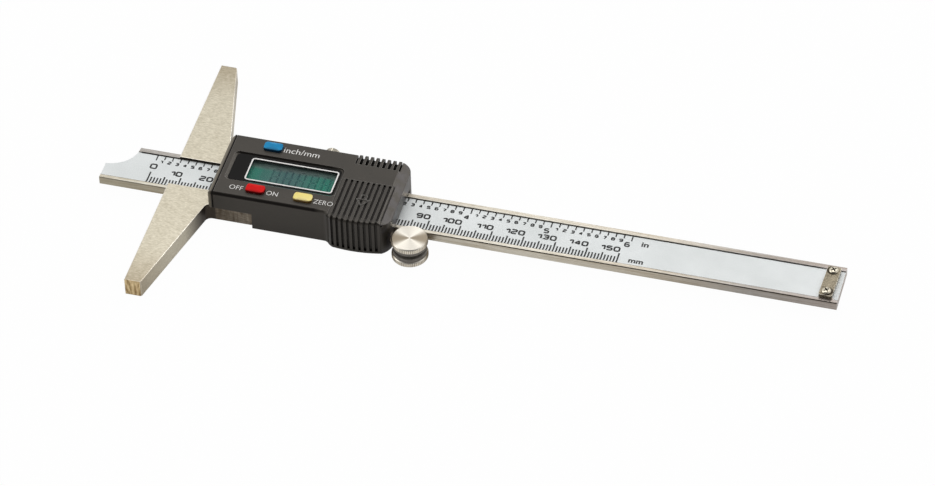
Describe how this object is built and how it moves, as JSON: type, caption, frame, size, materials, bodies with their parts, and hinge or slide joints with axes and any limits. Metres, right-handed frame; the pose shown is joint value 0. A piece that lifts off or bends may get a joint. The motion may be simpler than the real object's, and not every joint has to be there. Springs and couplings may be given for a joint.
{
  "type": "digital depth gauge",
  "caption": "Digital depth gauge: a ruled steel beam slides through a wide measuring base and a plastic display housing, driven by a thumb wheel and stopped by a plate at its tail.",
  "frame": {"origin": "centre of the measuring face: on the beam's centreline, halfway through the base's thickness", "axes": "+X along the beam from the measuring face to the tail, +Y across to the lock screw's side, +Z out of the display; the gauge lies on its back in the plane Z = -3 mm"},
  "size_m": [0.2335, 0.1, 0.0137],
  "materials": {
    "ground_steel": "satin, fine ground lines",
    "screw_steel": "satin",
    "slider_steel": "satin, fine ground lines",
    "gib_brass": "plain drawn strip",
    "knurled_steel": "fine straight knurling",
    "housing_plastic": "fine-grained black-brown moulding",
    "window_plastic": "glossy, printed black round a clear middle",
    "lcd_glass": "blue-green display, blank",
    "contact_rubber": "striped black and white silicone",
    "board": "green solder mask",
    "resin": "black resin drop",
    "spring_steel": "bright",
    "battery_can": "bright nickel",
    "contact_metal": "bright spring bronze",
    "cover_plastic": "fine-grained black-brown moulding",
    "blue_plastic": "soft gloss",
    "red_plastic": "soft gloss",
    "yellow_plastic": "soft gloss",
    "turned_steel": "turned in fine rings",
    "wheel_rubber": "matte",
    "beam_steel": "satin, fine ground lines",
    "copper_clad": "etched copper pads on board material",
    "label_film": "silver-grey printed film",
    "plate_steel": "satin",
    "stop_screw_steel": "bright, domed"
  },
  "bodies": {
    "slider": {"slider_frame": "slider_steel", "base": "ground_steel", "base_screws": "screw_steel", "gib_strip": "gib_brass", "gib_screws": "screw_steel", "housing": "housing_plastic", "housing_screws": "screw_steel", "display_window": "window_plastic", "lcd_panel": "lcd_glass", "zebra_strips": "contact_rubber", "circuit_board": "board", "processor_cap": "resin", "switch_domes": "spring_steel", "battery": "battery_can", "battery_plus_contact": "contact_metal", "battery_minus_contact": "contact_metal"},
    "beam": {"beam": "beam_steel", "scale_strip": "copper_clad", "scale_label": "label_film", "stop_plate": "plate_steel", "stop_screws": "stop_screw_steel"},
    "battery_cover": {"battery_cover": "cover_plastic"},
    "unit_button": {"unit_button": "blue_plastic"},
    "power_button": {"power_button": "red_plastic"},
    "zero_button": {"zero_button": "yellow_plastic"},
    "lock_screw": {"lock_screw": "knurled_steel"},
    "thumb_wheel": {"wheel_upper_disc": "turned_steel", "wheel_lower_disc": "turned_steel", "wheel_rings": "wheel_rubber", "wheel_axle": "spring_steel"}
  },
  "joints": [
    {"name": "depth_slide", "type": "slide", "parent": "slider", "child": "beam", "axis": [-1, 0, 0], "range_m": [-0.022, 0.128]},
    {"name": "wheel_spin", "type": "hinge", "parent": "slider", "child": "thumb_wheel", "pos_m": [0.0797, -0.0133, 0.0009], "axis": [0, 0, 1], "range_deg": [-245, 1404]},
    {"name": "lock_turn", "type": "hinge", "parent": "slider", "child": "lock_screw", "pos_m": [0.0454, 0.0177, 0.0009], "axis": [0, 1, 0], "range_deg": [-360, 180]},
    {"name": "cover_slide", "type": "slide", "parent": "slider", "child": "battery_cover", "axis": [0, -1, 0], "range_m": [0, 0.016]},
    {"name": "unit_press", "type": "slide", "parent": "slider", "child": "unit_button", "axis": [0, 0, -1], "range_m": [0, 0.0004], "stiffness_N_per_m": 500, "springref_m": -0.0006},
    {"name": "power_press", "type": "slide", "parent": "slider", "child": "power_button", "axis": [0, 0, -1], "range_m": [0, 0.0004], "stiffness_N_per_m": 500, "springref_m": -0.0006},
    {"name": "zero_press", "type": "slide", "parent": "slider", "child": "zero_button", "axis": [0, 0, -1], "range_m": [0, 0.0004], "stiffness_N_per_m": 500, "springref_m": -0.0006}
  ],
  "couplings": [
    {"joint": "wheel_spin", "follows": "depth_slide", "rad_per_m": 190.48}
  ]
}
